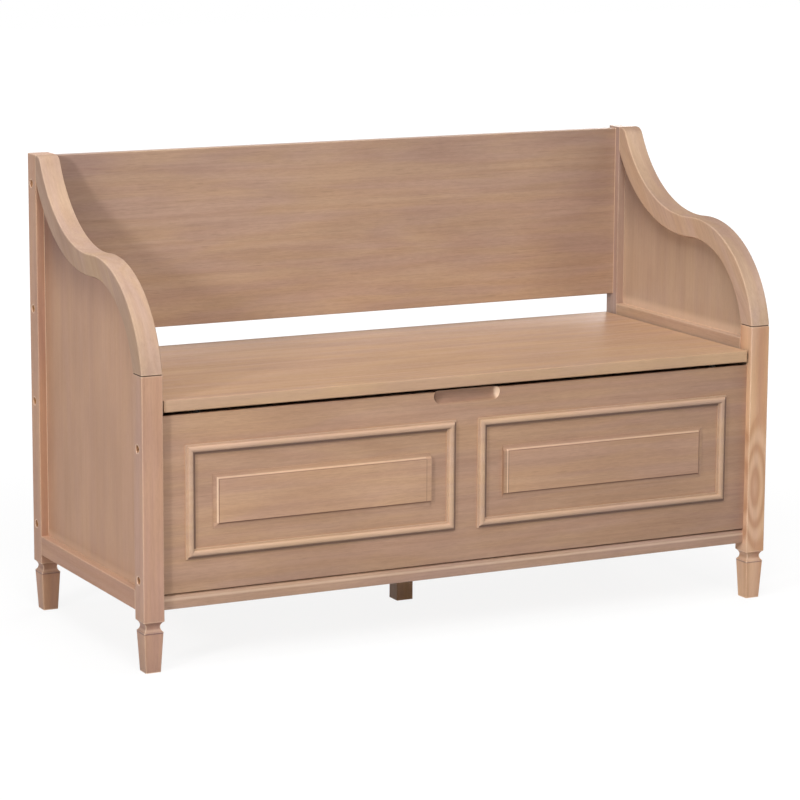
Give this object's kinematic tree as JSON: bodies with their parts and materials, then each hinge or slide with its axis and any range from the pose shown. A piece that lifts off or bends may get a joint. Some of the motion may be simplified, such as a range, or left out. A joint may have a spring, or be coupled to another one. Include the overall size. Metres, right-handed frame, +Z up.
{
  "type": "entry bench",
  "caption": "Wooden storage bench with a plank backrest, S-curved arms, a panelled front and a hinged seat lid over the box.",
  "frame": {"origin": "on the floor, in the middle of the bench's length and depth", "axes": "+X along the bench to the right as seen from the front, +Y to the back, +Z up"},
  "size_m": [1.067, 0.448, 0.716],
  "materials": {
    "stained_wood": "satin lacquer over a thin brown-grey stain",
    "plain_wood": "bare",
    "brass": "satin plated",
    "zinc_steel": "zinc plated",
    "black_rubber": "matt"
  },
  "bodies": {
    "frame": {"back_panel": "stained_wood", "backrest": "stained_wood", "barrel_nuts": "zinc_steel", "board_dowels": "plain_wood", "bottom_panel": "plain_wood", "bottom_screws": "zinc_steel", "centre_leg": "stained_wood", "connector_bolts": "brass", "front_bottom_cleat": "plain_wood", "front_bottom_rail": "stained_wood", "front_panel": "stained_wood", "hinge_panel_screws": "zinc_steel", "left_arm": "stained_wood", "left_bottom_cleat": "plain_wood", "left_bottom_rail": "stained_wood", "left_front_post": "stained_wood", "left_hinge_fixed_leaf": "zinc_steel", "left_hinge_pin": "zinc_steel", "left_moulding_frame": "stained_wood", "left_raised_field": "stained_wood", "left_rear_post": "stained_wood", "left_seat_rail": "stained_wood", "left_side_panel": "stained_wood", "lid_bumpers": "black_rubber", "rear_bottom_cleat": "plain_wood", "right_arm": "stained_wood", "right_bottom_cleat": "plain_wood", "right_bottom_rail": "stained_wood", "right_front_post": "stained_wood", "right_hinge_fixed_leaf": "zinc_steel", "right_hinge_pin": "zinc_steel", "right_moulding_frame": "stained_wood", "right_raised_field": "stained_wood", "right_rear_post": "stained_wood", "right_seat_rail": "stained_wood", "right_side_panel": "stained_wood", "side_frame_dowels": "plain_wood"},
    "lid": {"seat_lid": "stained_wood", "left_hinge_lid_leaf": "zinc_steel", "right_hinge_lid_leaf": "zinc_steel", "hinge_lid_screws": "zinc_steel"}
  },
  "joints": [
    {"name": "lid_hinge", "type": "hinge", "parent": "frame", "child": "lid", "pos_m": [0, 0.2205, 0.38075], "axis": [-1, 0, 0], "range_deg": [0, 48]}
  ]
}
